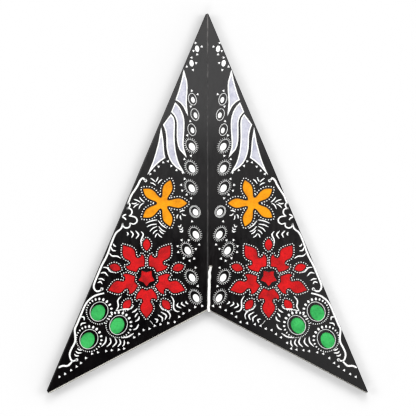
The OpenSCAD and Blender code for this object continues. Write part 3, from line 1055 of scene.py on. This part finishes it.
def closed_curve(rows, steps):
    """The rows joined into a closed soft curve, each number on its own."""
    out, count = [], len(rows)
    for i in range(count):
        a, b, c, d = (rows[(i + k) % count] for k in (-1, 0, 1, 2))
        for j in range(steps):
            t = j / steps
            out.append([
                0.5 * (2 * q + (r - p) * t + (2 * p - 5 * q + 4 * r - s) * t * t
                       + (3 * q - p - 3 * r + s) * t * t * t)
                for p, q, r, s in zip(a, b, c, d)
            ])
    return out


rows = closed_curve(tie_route(), TIE_STEP)
corners, travelled = [], 0.0
for i, (u, v, z, half_width, half_height) in enumerate(rows):
    before, after = rows[i - 1], rows[(i + 1) % len(rows)]
    travelled += math.dist(rows[i - 1][:3], (u, v, z)) if i else 0.0
    along = Vector((after[1] - before[1], after[2] - before[2])).normalized()
    for k in range(TIE_SIDES):
        t = 2 * math.pi * k / TIE_SIDES
        ply = 1 + 0.07 * math.cos(TIE_PLIES * t + 2 * math.pi * travelled / TIE_PITCH)
        w, h = half_width * math.cos(t) * ply, half_height * math.sin(t) * ply
        corners.append(((u + w) * MM, (v - h * along.y) * MM + NOTCH_Y, (z + h * along.x) * MM))
faces, total = [], len(corners)
for i in range(len(rows)):
    for k in range(TIE_SIDES):
        a, b = i * TIE_SIDES + k, i * TIE_SIDES + (k + 1) % TIE_SIDES
        faces.append([a, b, (b + TIE_SIDES) % total, (a + TIE_SIDES) % total])
tie = mesh_from("cotton_tie", corners, faces)
tie.polygons.foreach_set("use_smooth", [True] * len(tie.polygons))
tie_piece = make_piece("cotton_tie", tie, "arm_5_up_back", cotton)
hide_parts("notch_tie")
print(f"tie loop {travelled:.1f} mm long")

# %% [markdown]
# ## Floor, light and camera
# The star lies on a plain pale table. The floor only catches the shadow, so the white room shows
# through it. It still hides whatever is under it. When the star opens, its lowest front panel stays
# where it lies, and the part of an arm that swings below the table isn't seen.
#
# Black card shows hardly any light of its own. What the eye sees is the reflection of whatever is
# above it. So a low, wide panel over the point gives it the grey sheen there, a weak strip beside
# it lets the sheen fade, and a small panel lifts the right wing a little. Four lamps, one on each
# side, and a room that is bright only low down, light the colours and leave a soft shadow.

# %% Floor
FLOOR_DROP = 0.35 * MM
FLOOR_SIZE = 8.0
bpy.ops.mesh.primitive_plane_add(size=FLOOR_SIZE, location=(0, 0, -FLOOR_DROP))
floor = bpy.context.object
floor.name = "table"
floor.is_shadow_catcher = True
table_top, tree, place = start_material("pale_table")
finish_material(tree, Base_Color=linear("#FFFFFF"), Roughness=0.9, IOR=1.5)
floor.data.materials.append(table_top)
print(f"floor {FLOOR_DROP * 1000:.2f} mm under the star")

# %% Light
world = bpy.data.worlds.new("room")
bpy.context.scene.world = world
world.use_nodes = True
room, backdrop = world.node_tree, world.node_tree.nodes["Background"]
backdrop.inputs["Color"].default_value = linear("#FFFFFF")
towards = add(room, "SeparateXYZ", {"Vector": (add(room, "TexCoord"), "Generated")})
tent = add(
    room, "MapRange",
    {"Value": (towards, "Z"), "From Min": 0.45, "From Max": 0.8, "To Min": 0.75, "To Max": 0.02},
)
seen = add(room, "LightPath")
brightness = add(
    room, "Mix", {"Factor": (seen, "Is Camera Ray"), 2: (tent, "Result"), 3: 1.0}, data_type="FLOAT"
)
room.links.new(brightness.outputs[0], backdrop.inputs["Strength"])
bpy.context.scene.view_settings.view_transform = "Standard"


def soft_lamp(name, at, width, depth, power, down=False):
    """A flat lamp that looks at the middle of the star, or straight down."""
    lamp = bpy.data.lights.new(name, "AREA")
    lamp.shape, lamp.size, lamp.size_y, lamp.energy = "RECTANGLE", width, depth, power
    holder = bpy.data.objects.new(name, lamp)
    bpy.context.scene.collection.objects.link(holder)
    holder.location = at
    holder.visible_camera = False
    if not down:
        holder.rotation_euler = (-Vector(at)).to_track_quat("-Z", "Y").to_euler()
    return holder


PANEL_HEIGHT = 0.5
SIDE_HEIGHT = 1.2
SIDE_POWER = 7.0
soft_lamp("sheen_panel", (0.0, 0.31, PANEL_HEIGHT), 1.0, 0.40, 2.15, down=True)
soft_lamp("sheen_edge_panel", (0.0, 0.065, PANEL_HEIGHT), 1.0, 0.09, 0.15, down=True)
soft_lamp("right_panel", (0.17, -0.12, PANEL_HEIGHT), 0.24, 0.24, 0.12, down=True)
soft_lamp("window_lamp", (0.2, 1.2, SIDE_HEIGHT), 0.9, 0.7, SIDE_POWER)
soft_lamp("right_lamp", (1.2, 0.1, SIDE_HEIGHT), 0.8, 0.6, SIDE_POWER)
soft_lamp("left_lamp", (-1.2, 0.1, SIDE_HEIGHT), 0.8, 0.6, SIDE_POWER)
soft_lamp("near_lamp", (-0.1, -1.2, SIDE_HEIGHT), 0.9, 0.6, SIDE_POWER)
print("three panels and four side lamps")

# %% Camera
VIEW_WIDTH = 0.3315
VIEW_CENTRE = Vector((0.0003, -0.0046, 0.006))
CAMERA_TILT = 5.0
CAMERA_DISTANCE = 2.4
camera_data = bpy.data.cameras.new("camera")
camera = bpy.data.objects.new("camera", camera_data)
bpy.context.scene.collection.objects.link(camera)
bpy.context.scene.camera = camera
lean = math.radians(CAMERA_TILT)
camera.location = VIEW_CENTRE + Vector((0, -math.sin(lean), math.cos(lean))) * CAMERA_DISTANCE
camera.rotation_euler = (lean, 0, 0)
camera_data.sensor_width = 36.0
camera_data.lens = camera_data.sensor_width * CAMERA_DISTANCE / VIEW_WIDTH
camera_data.clip_start, camera_data.clip_end = 0.05, 20.0
print(f"lens {camera_data.lens:.0f} mm from {CAMERA_DISTANCE} m")
